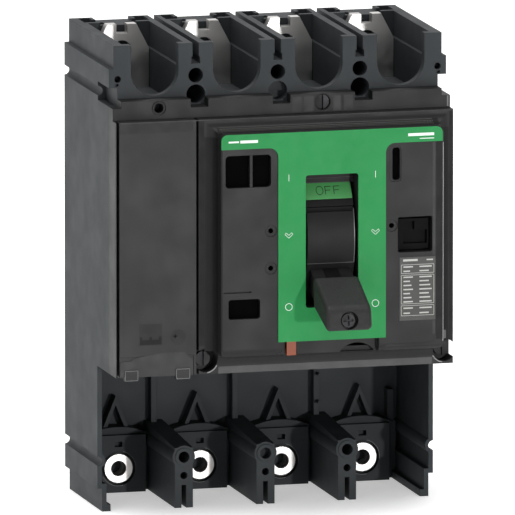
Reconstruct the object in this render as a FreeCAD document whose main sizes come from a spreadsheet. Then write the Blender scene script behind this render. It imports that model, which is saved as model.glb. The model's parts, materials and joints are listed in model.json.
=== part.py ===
import FreeCAD, Part
import os
import re

import Sketcher
from FreeCAD import Placement, Rotation, Vector

# Four-pole moulded case circuit breaker, basic frame without its trip unit.
# X runs to the right seen from the front, Y into the panel, Z up. The origin is the
# centre of the rear mounting face. The toggle stands at OFF, 23.4 degrees below level.

doc = FreeCAD.newDocument("molded_case_breaker")

SIZES = {
    # housing
    "pole_pitch": 45.0,
    "half_width": 92.5,
    "half_width_ends": 90.0,
    "half_height": 127.5,
    "end_step": 115.0,
    "shoulder": 95.5,
    "bay_depth": 70.0,
    "bay_top": -48.5,
    "back_wall": 4.5,
    "bay_wall": 2.5,
    "bore_half": 20.5,
    "bore_top": 82.0,
    "bore_bottom": -46.0,
    "mount_x": 45.0,
    "mount_z": 100.0,
    "mount_radius": 3.0,
    "access_radius": 5.1,
    "groove_radius": 2.6,
    "groove_boss": 4.4,
    "pocket_half": 16.85,
    "pocket_mouth": 13.0,
    "pocket_wide_low": 114.0,
    "pocket_floor": 93.0,
    "pocket_back": 18.6,
    "lip_depth": 5.0,
    "slot_half": 1.75,
    "slot_wide_half": 2.4,
    "slot_bottom": 116.3,
    "slot_wide_top": 120.0,
    "pin_hole_radius": 4.0,
    "pin_hole_z": 110.0,
    "pin_hole_depth": 60.0,
    "lower_block_half": 15.0,
    "lower_block_top": -96.4,
    "lower_block_face": 18.0,
    "lower_step_half": 17.45,
    "lower_slot_half": 1.3,
    "lower_step_face": 12.0,
    "terminal_z": 113.5,
    "lower_terminal_z": 114.4,
    "ring_radius": 7.7,
    "ring_bore": 4.2,
    "ring_recess": 9.25,
    "ring_recess_depth": 3.0,
    "ring_length": 12.0,
    "lower_wall_half": 5.0,
    "lower_wall_top": 95.0,
    "lower_wall_top_back": 91.0,
    "lower_boss_radius": 6.15,
    "lower_boss_ring": 4.8,
    "rib_left": 2.7,
    "rib_right": 0.3,
    "rib_face": 11.0,
    "sign_rib_height": 7.5,
    "dome_radius": 40.0,
    "dome_rise": 4.0,
    # conductors
    "plate_front": 26.0,
    "plate_back": 20.0,
    "plate_half": 14.8,
    "plate_tip_half": 8.0,
    "plate_chamfer_z": 114.4,
    "plate_hole": 5.25,
    "leg_half": 9.0,
    "axis_y": -33.0,
    "axis_z": 22.75,
    "upper_leg_front": -44.0,
    "upper_leg_back": -38.0,
    "upper_pad": -36.0,
    "upper_leg_low": 44.0,
    "upper_bar_low": 72.0,
    "upper_bar_high": 78.0,
    # pole cartridge and rotor
    "cartridge_half": 19.5,
    "cartridge_wall": 3.0,
    "cartridge_front": -60.0,
    "cartridge_back": -7.0,
    "cartridge_top": 81.0,
    "cartridge_bottom": -45.0,
    "journal_hole": 14.0,
    "journal_radius": 13.5,
    "journal_half": 18.7,
    "rotor_radius": 16.3,
    "rotor_half": 15.0,
    "arm_half": 6.0,
    "arm_thickness": 5.0,
    "arm_reach": 27.0,
    "arm_open_angle": 32.9,
    "rod_radius": 3.0,
    "rod_circle": 9.5,
    "crank_radius": 24.4,
    "crank_rest": 16.4,
    "crank_pin_radius": 3.0,
    "plate_gap": 0.3,
    "chute_plate": 1.2,
    # toggle
    "toggle_y": -73.0,
    "toggle_x": 22.5,
    "toggle_angle": 23.4,
    "pivot_radius": 3.9,
    "pivot_hole": 4.25,
    "drum_radius": 48.5,
    "drum_skin": 2.5,
    "drum_half": 13.0,
    "sticker_skin": 0.3,
    "fork_length": 22.0,
    "fork_gap": 3.9,
    "fork_half": 7.5,
    "lever_half": 4.0,
    "stub_end": 61.0,
    "grip_half": 12.5,
    "grip_soft": 2.4,
    "drum_groove": 1.6,
    # covers
    "deck_front": 98.0,
    "cover_front": 110.0,
    "cover_top": 88.5,
    "band_top": 98.7,
    "band_front": 103.5,
    "notch_half": 4.8,
    "notch_low": 94.2,
    "recess_floor": 101.5,
    "recess_radius": 6.3,
    "head_slot_half": 0.5,
    "cover_left": -47.2,
    "neutral_right": -48.5,
    "skin": 2.5,
    "island_left": -38.1,
    "island_right": 84.2,
    "island_low": -38.5,
    "island_high": 81.7,
    "island_front": 122.2,
    "island_soft": 4.6,
    "margin_left": 79.6,
    "margin_low": -34.6,
    "margin_depth": 0.5,
    "insert_face": 3.0,
    "insert_back": 4.2,
    "cove": 6.0,
    "plate_face": 123.0,
    "window_left": 8.0,
    "window_right": 36.9,
    "window_low": -12.9,
    "window_high": 58.4,
    "green_left": -7.0,
    "green_right": 52.0,
    "green_low": -30.7,
    "green_strip": 73.8,
    "notch_left": -5.0,
    "notch_right": 48.5,
    "notch_front": 117.2,
    # trip lever
    "trip_x": 1.2,
    "trip_half": 2.55,
    "trip_y": -108.0,
    "trip_z": -20.0,
    "trip_barrel": 3.0,
    "trip_pin_radius": 1.2,
    "trip_face": 119.2,
    "trip_low": -38.7,
    "trip_slot_low": -39.6,
}

sheet = doc.addObject("Spreadsheet::Sheet", "Sizes")
for row, (alias, value) in enumerate(SIZES.items(), start=1):
    sheet.set(f"A{row}", alias)
    sheet.set(f"B{row}", str(value))
    sheet.setAlias(f"B{row}", alias)
doc.recompute()

POLES = {number: f"{number - 2.5} * pole_pitch" for number in (1, 2, 3, 4)}
GAPS = ("-pole_pitch", "0", "pole_pitch")
NODES = []
TURNS = {
    "x": Rotation(Vector(0, 1, 0), 90),
    "y": Rotation(Vector(1, 0, 0), -90),
    "z": Rotation(),
}


def linked(formula):
    """A formula whose names point at the cells of the sheet."""
    return re.sub(r"[a-z_]{2,}", lambda word: "Sizes." + word.group(), str(formula))


def bind(thing, prop, formula):
    thing.setExpression(prop, linked(formula))


def span(centre, half):
    """The pair of planes half a width each side of a centre."""
    return f"{centre} - ({half})", f"{centre} + {half}"


def block(x, y, z):
    """A block between a low and a high plane across each axis."""
    solid = doc.addObject("Part::Box", "Block")
    for side, axis, (low, high) in zip(("Length", "Width", "Height"), "xyz", (x, y, z)):
        bind(solid, side, f"({high}) - ({low})")
        bind(solid, f"Placement.Base.{axis}", low)
    return solid


def rod(axis, centre, ends, radius):
    """A cylinder along one axis; centre gives its place across the other two."""
    solid = doc.addObject("Part::Cylinder", "Rod")
    solid.Placement = Placement(Vector(), TURNS[axis])
    bind(solid, "Radius", radius)
    bind(solid, "Height", f"({ends[1]}) - ({ends[0]})")
    across = iter(centre)
    for letter in "xyz":
        place = ends[0] if letter == axis else next(across)
        bind(solid, f"Placement.Base.{letter}", place)
    return solid


def prism(plane, corners, ends):
    """A padded outline in the YZ or XZ plane, between two planes across it."""
    body = doc.addObject("PartDesign::Body", "Prism")
    role = {"yz": "YZ_Plane", "xz": "XZ_Plane"}[plane]
    origin_plane = next(f for f in body.Origin.OriginFeatures if f.Role == role)
    sketch = body.newObject("Sketcher::SketchObject", "Outline")
    sketch.AttachmentSupport = [(origin_plane, "")]
    sketch.MapMode = "FlatFace"
    values = [[float(measure(part)) for part in corner] for corner in corners]
    count = len(corners)
    for index in range(count):
        start = Vector(*values[index], 0)
        end = Vector(*values[(index + 1) % count], 0)
        sketch.addGeometry(Part.LineSegment(start, end))
    for index in range(count):
        sketch.addConstraint(Sketcher.Constraint("Coincident", index, 2, (index + 1) % count, 1))
    for index, corner in enumerate(corners):
        for kind, part, number in zip(("DistanceX", "DistanceY"), corner, values[index]):
            rule = sketch.addConstraint(Sketcher.Constraint(kind, -1, 1, index, 1, number))
            bind(sketch, f"Constraints[{rule}]", part)
    pad = body.newObject("PartDesign::Pad", "Pad")
    pad.Profile = sketch
    bind(pad, "Length", f"({ends[1]}) - ({ends[0]})")
    bind(sketch, "AttachmentOffset.Base.z", ends[0] if plane == "yz" else f"-({ends[1]})")
    return body


def measure(formula):
    """The present value of a formula, read from the cells of the sheet."""
    return sheet.evalExpression(str(formula))


def fuse(*solids):
    if len(solids) == 1:
        return solids[0]
    joined = doc.addObject("Part::MultiFuse", "Joined")
    joined.Shapes = list(solids)
    return joined


def cut(solid, *tools):
    cut_solid = doc.addObject("Part::Cut", "Cut")
    cut_solid.Base = solid
    cut_solid.Tool = fuse(*tools)
    return cut_solid


def common(first, second):
    shared = doc.addObject("Part::Common", "Common")
    shared.Base = first
    shared.Tool = second
    return shared


def rounded(solid, radius, axis, keep=lambda middle: True):
    """The solid with its edges along one axis rounded, where keep says so."""
    doc.recompute()
    edges = []
    for number, edge in enumerate(solid.Shape.Edges, start=1):
        ends = [vertex.Point for vertex in edge.Vertexes]
        if len(ends) == 2:
            run = (ends[1] - ends[0]).normalize()
            if abs(abs(getattr(run, axis)) - 1) < 1e-6 and keep((ends[0] + ends[1]) * 0.5):
                edges.append((number, radius, radius))
    fillet = doc.addObject("Part::Fillet", "Rounded")
    fillet.Base = solid
    fillet.Edges = edges
    return fillet


def group(*solids):
    bundle = doc.addObject("Part::Compound", "Group")
    bundle.Links = list(solids)
    return bundle


def node(name, solid, base=None, angle=None):
    """Names a finished sub-part, and sets it in place about the X axis where needed."""
    if base:
        solid.Placement = Placement(Vector(), Rotation(Vector(1, 0, 0), 10))
        for letter, place in zip("xyz", base):
            bind(solid, f"Placement.Base.{letter}", place)
        bind(solid, "Placement.Rotation.Angle", angle or 0)
    solid.Label = name
    NODES.append(solid)
    return solid


# ------------------------------------------------------------------ housing

def side_pair(side, inner, outer):
    """The planes from inner to outer on one side of the middle."""
    return (inner, outer) if side == "1" else (f"-({outer})", f"-({inner})")


def housing_outside():
    shoulder = ("-shoulder", "0")
    bay = ("-bay_depth", "0")
    wide = span("0", "half_width")
    narrow = span("0", "half_width_ends")
    return fuse(
        block(wide, shoulder, ("bay_top", "end_step")),
        block(narrow, shoulder, ("end_step - 1", "half_height")),
        block(wide, bay, ("-end_step", "bay_top + 1")),
        block(narrow, bay, ("-half_height", "1 - end_step")),
    )


def top_pocket(centre):
    """A deep square box, wider above its ledges, and a round mouth in the wall in front of it."""
    front = ("-shoulder - 1", "lip_depth - shoulder")
    behind = ("lip_depth - shoulder", "-pocket_back")
    tall = ("half_height - 9", "half_height + 1")
    corners = []
    for side in ("1", "-1"):
        corners.append(block(side_pair_about(centre, side, "6", "18"), ("-15.5", "-8.5"), tall))
        corners.append(block(side_pair_about(centre, side, "12", "18"), ("-9.5", "-2"), tall))
    return corners + [
        block(span(centre, "pocket_half"), behind, ("pocket_wide_low", "half_height + 1")),
        block(span(centre, "plate_half + plate_gap"), behind, ("pocket_floor", "pocket_wide_low + 1")),
        block(span(centre, "pocket_mouth"), front, ("113", "half_height + 1")),
        rod("y", (centre, "113"), front, "pocket_mouth"),
        block(span(centre, "10"), ("-pocket_back - 1", "1"), ("half_height - 1.5", "half_height + 1")),
        block(span(centre, "plate_half + plate_gap"), ("-plate_front - plate_gap", "plate_gap - plate_back"),
              ("bore_top - 1", "pocket_wide_low + 1")),
    ]


def side_pair_about(centre, side, inner, outer):
    if side == "1":
        return f"{centre} + {inner}", f"{centre} + {outer}"
    return f"{centre} - {outer}", f"{centre} - {inner}"


def pole_cuts(centre):
    """The terminal pocket, the bore for the cartridge and the stab slot of one pole."""
    return top_pocket(centre) + [
        block(span(centre, "bore_half"), ("-shoulder - 1", "-back_wall"), ("bore_bottom", "bore_top")),
        block(span(centre, "leg_half + plate_gap"), ("-46 - plate_gap", "-40 + plate_gap"),
              ("bay_top - 1", "bore_bottom + 1")),
    ]


def gap_cuts(centre):
    """The barrier slot, pin hole and screw access between two poles."""
    through = ("-shoulder - 1", "1")
    deep = "6 - shoulder" if centre == "0" else "-8"
    return [
        block(span(centre, "slot_half"), through, ("slot_bottom", "half_height + 1")),
        block(span(centre, "slot_wide_half"), through, ("slot_bottom", "slot_wide_top")),
        rod("y", (centre, "pin_hole_z"), ("-shoulder - 1", "pin_hole_depth - shoulder"), "pin_hole_radius"),
        rod("y", (centre, "mount_z"), ("-shoulder - 1", deep), "access_radius"),
    ]


def side_cuts(side):
    """The mounting hole, the half-round groove and the corner notch of one side."""
    through = ("-shoulder - 1", "1")
    return [
        rod("y", (f"{side} * mount_x", "mount_z"), through, "mount_radius"),
        rod("y", (f"{side} * half_width", "mount_z"), through, "groove_radius"),
        rod("y", (f"{side} * 87.7", "109.5"), ("-shoulder - 1", "6 - shoulder"), "1.8"),
        block(side_pair(side, "87.2", "89"), ("-shoulder - 1", "2 - shoulder"), ("105.7", "107.1")),
        block(side_pair(side, "87.9", "half_width + 1"), ("-shoulder - 1", "-72"), ("95", "105")),
    ]


def bay_cuts():
    """The open bay below the poles, and the way through for the contact shaft."""
    deep = ("-bay_depth - 1", "-back_wall")
    return [
        block(span("0", "half_width - bay_wall"), deep, ("bay_wall - end_step", "bay_top")),
        block(span("0", "half_width_ends - bay_wall"), deep, ("-half_height - 1", "bay_wall - end_step + 1")),
        rod("x", ("axis_y", "axis_z"), ("-1.6 * pole_pitch", "1.6 * pole_pitch"), "journal_hole"),
    ]


def sign_rib(centre):
    """A raised open triangle on the back wall of the bay."""
    planes = ("-back_wall - sign_rib_height", "1 - back_wall")
    foot = "lower_block_top"
    outer = [(f"{centre} - 8.4", foot), (f"{centre} + 8.4", foot), (centre, "-76")]
    inner = [(f"{centre} - 6.5", f"{foot} - 1"), (f"{centre} + 6.5", f"{foot} - 1"), (centre, "-81.1")]
    return cut(prism("xz", outer, planes), prism("xz", inner, (planes[0] + " - 1", "2 - back_wall")))


def lower_arch(centre):
    """A low dome that stands on the terminal block, between the walls of the pole."""
    deep = ("-15", "1 - back_wall")
    top = "lower_block_top"
    return common(
        rod("y", (centre, f"{top} + dome_rise - dome_radius"), deep, "dome_radius"),
        block(span(centre, "17.4"), deep, (top, f"{top} + 5")),
    )


def make_lower_blocks():
    """One insulating block per pole, bored for its terminal, with a step out to the walls."""
    blocks = []
    height = ("-half_height", "lower_block_top")
    for number, centre in POLES.items():
        low, high = span(centre, "lower_step_half")
        if number == 1:
            low = "bay_wall + 0.05 - half_width_ends"
        if number == 4:
            high = "half_width_ends - bay_wall - 0.05"
        place = (centre, "-lower_terminal_z")
        front = "-lower_block_face - 1"
        solid = fuse(block(span(centre, "lower_block_half"), ("-lower_block_face", "-back_wall"), height),
                     block((low, high), ("-lower_step_face", "-back_wall"), height))
        blocks.append(cut(
            solid,
            rod("y", place, (front, "ring_recess_depth - lower_block_face"), "ring_recess"),
            rod("y", place, (front, "ring_length - lower_block_face"), "ring_radius"),
            block(span(centre, "2.1"), (front, "4 - lower_block_face"), ("-102.7", "-99.9")),
        ))
    node("lower_blocks", group(*blocks))


def lower_walls():
    walls = []
    deep = ("-bay_depth", "1 - back_wall")
    slope = [("1 - back_wall", "-half_height"), ("-bay_depth", "-half_height"),
             ("-bay_depth", "-lower_wall_top"), ("1 - back_wall", "-lower_wall_top_back")]
    for centre in GAPS:
        walls.append(prism("yz", slope, span(centre, "lower_wall_half")))
        walls.append(rod("y", (centre, "-mount_z"), ("-bay_depth", "-lower_step_face"), "lower_boss_radius"))
        walls.append(rod("y", (centre, "-mount_z"), ("-bay_depth - 0.5", "1 - bay_depth"), "lower_boss_ring"))
        walls.append(block((f"{centre} - rib_left", f"{centre} + rib_right"), ("-rib_face", "1 - back_wall"),
                           ("-95", "bay_top + 1")))
    for side in ("1", "-1"):
        boss = rod("y", (f"{side} * half_width", "-mount_z"), deep, "groove_boss")
        walls.append(common(boss, block(span("0", "half_width"), deep, ("-110", "-90"))))
        walls.append(block(side_pair(side, "85.3", "half_width_ends - 1"), ("-bay_depth", "-lower_step_face"),
                           ("-half_height", "3.8 - half_height")))
        walls.append(block(side_pair(side, "83.2", "86.6"), ("-rib_face", "1 - back_wall"),
                           ("lower_block_top", "-79.5")))
    for height in (-52, -69, -84):
        walls.append(rod("y", ("pole_pitch - 0.8", height), ("-rib_face - 5", "1 - rib_face"), "0.9"))
    return walls


def lower_wall_cuts():
    through = ("-bay_depth - 1", "1")
    cuts = []
    for centre in GAPS:
        cuts.append(block(span(centre, "lower_slot_half"), ("-bay_depth - 1", "-back_wall"),
                          ("-half_height - 1", "-115.2")))
        cuts.append(rod("y", (centre, "-110"), ("-bay_depth - 1", "8 - bay_depth"), "1.95"))
        end = "6 - bay_depth" if centre == "0" else "1"
        cuts.append(rod("y", (centre, "-mount_z"), ("-bay_depth - 1", end), "mount_radius"))
    for side in ("1", "-1"):
        cuts.append(rod("y", (f"{side} * half_width", "-mount_z"), through, "groove_radius"))
    return cuts


def make_housing():
    shell = housing_outside()
    rounds = [pole_cuts(centre) for centre in POLES.values()]
    rounds += [gap_cuts(centre) for centre in GAPS]
    rounds += [side_cuts(side) for side in ("1", "-1")]
    for tools in rounds + [bay_cuts()]:
        shell = cut(shell, *tools)
    shell = fuse(shell, *lower_walls())
    for centre in POLES.values():
        for piece in (sign_rib(centre), lower_arch(centre)):
            shell = fuse(shell, piece)
    node("housing", cut(shell, *lower_wall_cuts()))


# --------------------------------------------------------------- conductors

def make_upper_terminal(number, centre):
    tip = "half_height"
    outline = [
        (f"{centre} - plate_half", "upper_bar_low"), (f"{centre} + plate_half", "upper_bar_low"),
        (f"{centre} + plate_half", "plate_chamfer_z"), (f"{centre} + plate_tip_half", tip),
        (f"{centre} + 3", tip), (f"{centre} + 3", f"{tip} - 5"),
        (f"{centre} - 3", f"{tip} - 5"), (f"{centre} - 3", tip),
        (f"{centre} - plate_tip_half", tip), (f"{centre} - plate_half", "plate_chamfer_z"),
    ]
    across = span(centre, "leg_half")
    plate = prism("xz", outline, ("-plate_front", "-plate_back"))
    bar = block(across, ("upper_leg_front", "1 - plate_front"), ("upper_bar_low", "upper_bar_high"))
    leg = block(across, ("upper_leg_front", "upper_leg_back"), ("upper_leg_low", "upper_bar_high"))
    pad = block(span(centre, "5"), ("upper_leg_back - 1", "upper_pad"),
                ("upper_leg_low", "upper_leg_low + 6"))
    hole = rod("y", (centre, "terminal_z"), ("-plate_front - 1", "1 - plate_back"), "plate_hole")
    node(f"upper_terminal_{number}", cut(fuse(plate, bar, leg, pad), hole))


def turned(formula_low, formula_high, middle):
    """The planes turned half a turn about a middle."""
    return f"2 * {middle} - ({formula_high})", f"2 * {middle} - ({formula_low})"


def make_lower_conductor(number, centre):
    """The upper contact turned half a turn about the contact shaft, with a stab below."""
    across = span(centre, "leg_half")
    leg_y = turned("upper_leg_front", "upper_leg_back", "axis_y")
    bar_z = turned("upper_bar_low", "upper_bar_high", "axis_z")
    leg = block(across, leg_y, turned("upper_leg_low", "upper_bar_high", "axis_z"))
    pad = block(span(centre, "5"), turned("upper_leg_back - 1", "upper_pad", "axis_y"),
                turned("upper_leg_low", "upper_leg_low + 6", "axis_z"))
    bar = block(across, ("-46", f"{leg_y[1]}"), bar_z)
    stab = block(across, ("-46", "-40"), ("bay_top + 0.5", bar_z[1]))
    node(f"load_conductor_{number}", fuse(leg, pad, bar, stab))


def make_lower_terminal(number, centre):
    ends = ("-lower_block_face", "ring_length - lower_block_face")
    ring = cut(rod("y", (centre, "-lower_terminal_z"), ends, "ring_radius"),
               rod("y", (centre, "-lower_terminal_z"), (f"{ends[0]} - 1", f"{ends[1]} + 1"), "ring_bore"))
    node(f"lower_terminal_{number}", ring)


# ------------------------------------------------------- cartridge and rotor

def make_cartridge(number, centre):
    wall = "cartridge_wall"
    outside = block(span(centre, "cartridge_half"), ("cartridge_front", "cartridge_back"),
                    ("cartridge_bottom", "cartridge_top"))
    cuts = [
        block(span(centre, f"cartridge_half - {wall}"),
              (f"cartridge_front + {wall}", f"cartridge_back - {wall}"),
              ("cartridge_bottom + 2.5", "cartridge_top - 2.5")),
        rod("x", ("axis_y", "axis_z"), span(centre, "cartridge_half + 1"), "journal_hole"),
        block(span(centre, "plate_half + plate_gap"), ("-plate_front - plate_gap", "plate_gap - plate_back"),
              ("cartridge_top - 4", "cartridge_top + 1")),
        block(span(centre, "leg_half + plate_gap"), ("-46 - plate_gap", "-40 + plate_gap"),
              ("cartridge_bottom - 1", "cartridge_bottom + 4")),
    ]
    if number == 3:
        cuts.append(block(span(centre, "14"), ("cartridge_front - 1", f"cartridge_front + {wall} + 1"),
                          span("axis_z", "19")))
    node(f"pole_cartridge_{number}", cut(outside, *cuts))


def make_arc_chute(name, centre, y, bottom):
    """Seven splitter plates, each with a notch towards the contacts."""
    plates = []
    for index in range(7):
        low = f"{bottom} + {index} * 2.8"
        high = f"{low} + chute_plate"
        plate = block(span(centre, "cartridge_half - cartridge_wall"), y, (low, high))
        notch_y = (f"{y[0]} - 1", f"{y[0]} + 8")
        if name.startswith("arc_chute_lower"):
            notch_y = (f"{y[1]} - 8", f"{y[1]} + 1")
        plates.append(cut(plate, block(span(centre, "6.5"), notch_y, (f"{low} - 1", f"{high} + 1"))))
    node(name, group(*plates))


def make_rotor(number, centre):
    """The moulded rotor, drawn with its contact arm upright and then turned to OFF."""
    wheel = rod("x", ("0", "0"), span("0", "rotor_half"), "rotor_radius")
    journal = rod("x", ("0", "0"), span("0", "journal_half"), "journal_radius")
    slot = block(span("0", "arm_half + 0.1"), span("0", "arm_thickness / 2 + 0.1"),
                 span("0", "rotor_radius + 3"))
    solids = [wheel, journal]
    cuts = [slot]
    for side in ("1", "-1"):
        cuts.append(rod("x", (f"{side} * rod_circle", "0"), span("0", "journal_half + 1"), "rod_radius"))
    if number == 3:
        for side in ("1", "-1"):
            cheek = block(side_pair(side, "7.5", "11"), ("-crank_radius - 4", "-12"), span("0", "4.5"))
            solids.append(crank_turned(cheek))
        cuts.append(crank_turned(rod("x", ("-crank_radius", "0"), span("0", "12"), "crank_pin_radius")))
    node(f"rotor_{number}", cut(fuse(*solids), *cuts), (centre, "axis_y", "axis_z"), "-arm_open_angle")


def crank_turned(solid):
    """The crank stands above the level at OFF, whatever way the arm points."""
    holder = group(solid)
    holder.Placement = Placement(Vector(), Rotation(Vector(1, 0, 0), 10))
    bind(holder, "Placement.Rotation.Angle", "arm_open_angle - crank_rest")
    return holder


def make_contact_arm(number, centre):
    arm = block(span("0", "arm_half"), span("0", "arm_thickness / 2"), span("0", "arm_reach"))
    node(f"contact_arm_{number}", arm_with_tips(arm), (centre, "axis_y", "axis_z"), "-arm_open_angle")


def arm_with_tips(arm):
    """The arm thins to its tips on the side away from its pads."""
    cuts = []
    for side in ("1", "-1"):
        face = side_pair(side, "arm_thickness / 2 - 1", "arm_thickness / 2 + 1")
        heights = side_pair(side, "rotor_radius + 1", "arm_reach - 6")
        far = ("-arm_half - 1", "arm_half + 1")
        cuts.append(block(far, face, heights))
    return cut(arm, *cuts)


def make_shaft_rods():
    rods = [
        rod("x", (f"{side} * rod_circle", "0"), span("0", "1.5 * pole_pitch + journal_half"), "rod_radius")
        for side in ("1", "-1")
    ]
    node("contact_shaft_rods", group(*rods), ("0", "axis_y", "axis_z"), "-arm_open_angle")


def make_crank_pin():
    pin = rod("x", ("-crank_radius", "0"), span("0", "11"), "crank_pin_radius")
    node("crank_pin", group(pin), ("toggle_x", "axis_y", "axis_z"), "-crank_rest")


# ----------------------------------------------------------------- mechanism

def make_mechanism_frame():
    pivot = ("toggle_y", "axis_z")
    spacers = [("-66", "-5"), ("-66", "50.5")]
    for name, side in (("mechanism_plate_right", "1"), ("mechanism_plate_left", "-1")):
        across = side_pair_about("toggle_x", side, "16", "18")
        plate = block(across, ("-shoulder", "cartridge_front"), ("-12", "58"))
        wide = (f"{across[0]} - 1", f"{across[1]} + 1")
        cuts = [rod("x", pivot, wide, "pivot_radius")]
        cuts += [rod("x", place, wide, "3") for place in spacers]
        cuts.append(block(wide, ("-shoulder - 1", "-84"), ("44", "59")))
        cuts.append(block(wide, ("-shoulder - 1", "-84"), ("-13", "2")))
        node(name, cut(plate, *cuts))
    node("mechanism_spacers", group(*[rod("x", place, span("toggle_x", "19"), "3") for place in spacers]))
    node("toggle_pivot", rod("x", pivot, span("toggle_x", "19"), "pivot_radius"))


TOGGLE_BASE = ("toggle_x", "toggle_y", "axis_z")


def sector(low_slope, high_slope, reach="60"):
    """A wedge in front of the pivot between two slopes, rise over run."""
    return prism("yz", [("0", "0"), (f"-{reach}", f"{low_slope} * {reach}"),
                        (f"-{reach}", f"{high_slope} * {reach}")], span("0", "40"))


def make_toggle_handle():
    """Curved shield, two webs, hub and the stub that carries the grip."""
    across = span("0", "drum_half")
    ring = cut(rod("x", ("0", "0"), across, "drum_radius"),
               rod("x", ("0", "0"), span("0", "drum_half + 1"), "drum_radius - drum_skin"))
    shield = common(ring, sector("-1.88", "1.88"))
    solids = [shield]
    for side in ("1", "-1"):
        outer = side_pair(side, "10.3", "drum_half")
        solids.append(block(outer, ("2.6 - drum_radius", "-6"), span("0", "14")))
        solids.append(rod("x", ("0", "0"), side_pair(side, "5", "drum_half"), "10.5"))
    solids.append(block(span("0", "11"), ("-stub_end", "3 - drum_radius"), ("-7.2", "3.6")))
    solids.append(block(span("0", "8"), ("-87", "1 - stub_end"), span("0", "3.5")))
    cuts = [
        rod("x", ("0", "0"), span("0", "drum_half + 1"), "pivot_hole"),
        block(span("0", "lever_half"), ("-58", "-40"), span("0", "4")),
        screw_rod("1.9", "-12", "1"),
    ]
    for slopes in (("0.878", "0.993"), ("-0.993", "-0.878")):
        groove = cut(rod("x", ("0", "0"), span("0", "drum_half + 1"), "drum_radius + 1"),
                     rod("x", ("0", "0"), span("0", "drum_half + 2"), "drum_radius - drum_groove"))
        cuts.append(common(groove, sector(*slopes)))
    node("toggle_handle", cut(fuse(*solids), *cuts), TOGGLE_BASE, "toggle_angle")


def screw_rod(radius, inner, outer):
    """A rod square to the sloping nose of the grip; its axis rises 32.3 degrees."""
    solid = doc.addObject("Part::Cylinder", "NoseRod")
    bind(solid, "Radius", radius)
    bind(solid, "Height", f"({outer}) - ({inner})")
    level = Rotation(Vector(1, 0, 0), 90)
    rise = Rotation(Vector(1, 0, 0), -NOSE_RISE)
    direction = rise.multVec(Vector(0, -1, 0))
    start = NOSE + direction * float(inner)
    solid.Placement = Placement(start, rise * level)
    return solid


NOSE = Vector(0, -93.4, 0.1)
NOSE_RISE = 32.3


def edge_fillet(solid, half, radius):
    """Rounds the outline edges on the two side faces of a solid."""
    doc.recompute()
    place = SIZES[half]
    edges = [
        (number, SIZES[radius], SIZES[radius]) for number, edge in enumerate(solid.Shape.Edges, start=1)
        if all(abs(abs(vertex.Point.x) - place) < 1e-4 for vertex in edge.Vertexes)
    ]
    fillet = doc.addObject("Part::Fillet", "RoundedSides")
    fillet.Base = solid
    fillet.Edges = edges
    return fillet


def make_toggle_grip():
    outline = [("-57.4", "6.8"), ("-90", "5.8"), ("-97.2", "-5.6"), ("-66.7", "-8.7")]
    body = prism("yz", outline, span("0", "grip_half"))
    body = rounded(body, 6.5, "x", lambda middle: middle.z > 0 and middle.y < -80)
    body = rounded(body, 2.6, "x", lambda middle: middle.z < -5 or middle.y > -60)
    soft = edge_fillet(body, "grip_half", "grip_soft")
    core = block(span("0", "8"), ("-87", "-50"), span("0", "3.5"))
    stub = block(span("0", "11"), ("-stub_end", "-50"), ("-7.2", "3.6"))
    node("toggle_grip", cut(soft, core, stub, screw_rod("4.8", "-3.9", "4"), screw_rod("1.9", "-12", "1")),
         TOGGLE_BASE, "toggle_angle")


def make_toggle_screw():
    head = screw_rod("3.7", "-3.9", "-2.5")
    shank = screw_rod("1.9", "-11", "-3")
    slots = []
    for spin in (0, 90):
        bar = doc.addObject("Part::Box", "CrossSlot")
        bar.Length = 5.4
        bar.Width = 1.0
        bar.Height = 2.0
        turn = Rotation(Vector(1, 0, 0), -NOSE_RISE) * Rotation(Vector(1, 0, 0), 90)
        turn = turn * Rotation(Vector(0, 0, 1), spin)
        centre = NOSE + Rotation(Vector(1, 0, 0), -NOSE_RISE).multVec(Vector(0, 3.7, 0))
        bar.Placement = Placement(centre - turn.multVec(Vector(2.7, 0.5, 0)), turn)
        slots.append(bar)
    node("toggle_screw", cut(fuse(head, shank), *slots), TOGGLE_BASE, "toggle_angle")


def make_position_labels():
    for name, slopes in (("off_label", ("1.167", "1.782")), ("on_label", ("-1.782", "-1.167"))):
        skin = cut(rod("x", ("0", "0"), span("0", "12.65"), "drum_radius + sticker_skin"),
                   rod("x", ("0", "0"), span("0", "14"), "drum_radius"))
        node(name, common(skin, sector(*slopes)), TOGGLE_BASE, "toggle_angle")


def make_toggle_lever():
    """Steel lever: hub, fork behind the pivot and blade inside the handle."""
    across = span("0", "lever_half")
    hub = rod("x", ("0", "0"), across, "9")
    blade = block(across, ("-58", "-6"), span("0", "4"))
    prongs = block(across, ("3", "fork_length"), span("0", "fork_half"))
    pins = [rod("x", (place, "0"), span("0", "9.8"), radius)
            for place, radius in (("-38", "1.4"), ("-12.6", "1.2"))]
    cuts = [
        rod("x", ("0", "0"), span("0", "lever_half + 1"), "pivot_hole"),
        block(span("0", "lever_half + 1"), ("11.8", "fork_length + 1"), span("0", "fork_gap")),
    ]
    node("toggle_lever", cut(fuse(hub, blade, prongs, *pins), *cuts), TOGGLE_BASE, "toggle_angle")


def coil(start, length, turns, radius, wire, axis):
    """A round-wire coil along one axis."""
    helix = doc.addObject("Part::Helix", "CoilLine")
    helix.Radius = radius
    helix.Height = length
    helix.Pitch = length / turns
    ring = doc.addObject("Part::Circle", "CoilWire")
    ring.Radius = wire
    ring.Placement = Placement(Vector(radius, 0, 0), Rotation(Vector(1, 0, 0), 90))
    sweep = doc.addObject("Part::Sweep", "Coil")
    sweep.Sections = [ring]
    sweep.Spine = (helix, [])
    sweep.Solid = True
    sweep.Frenet = True
    sweep.Placement = Placement(start, TURNS[axis])
    return sweep


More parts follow.
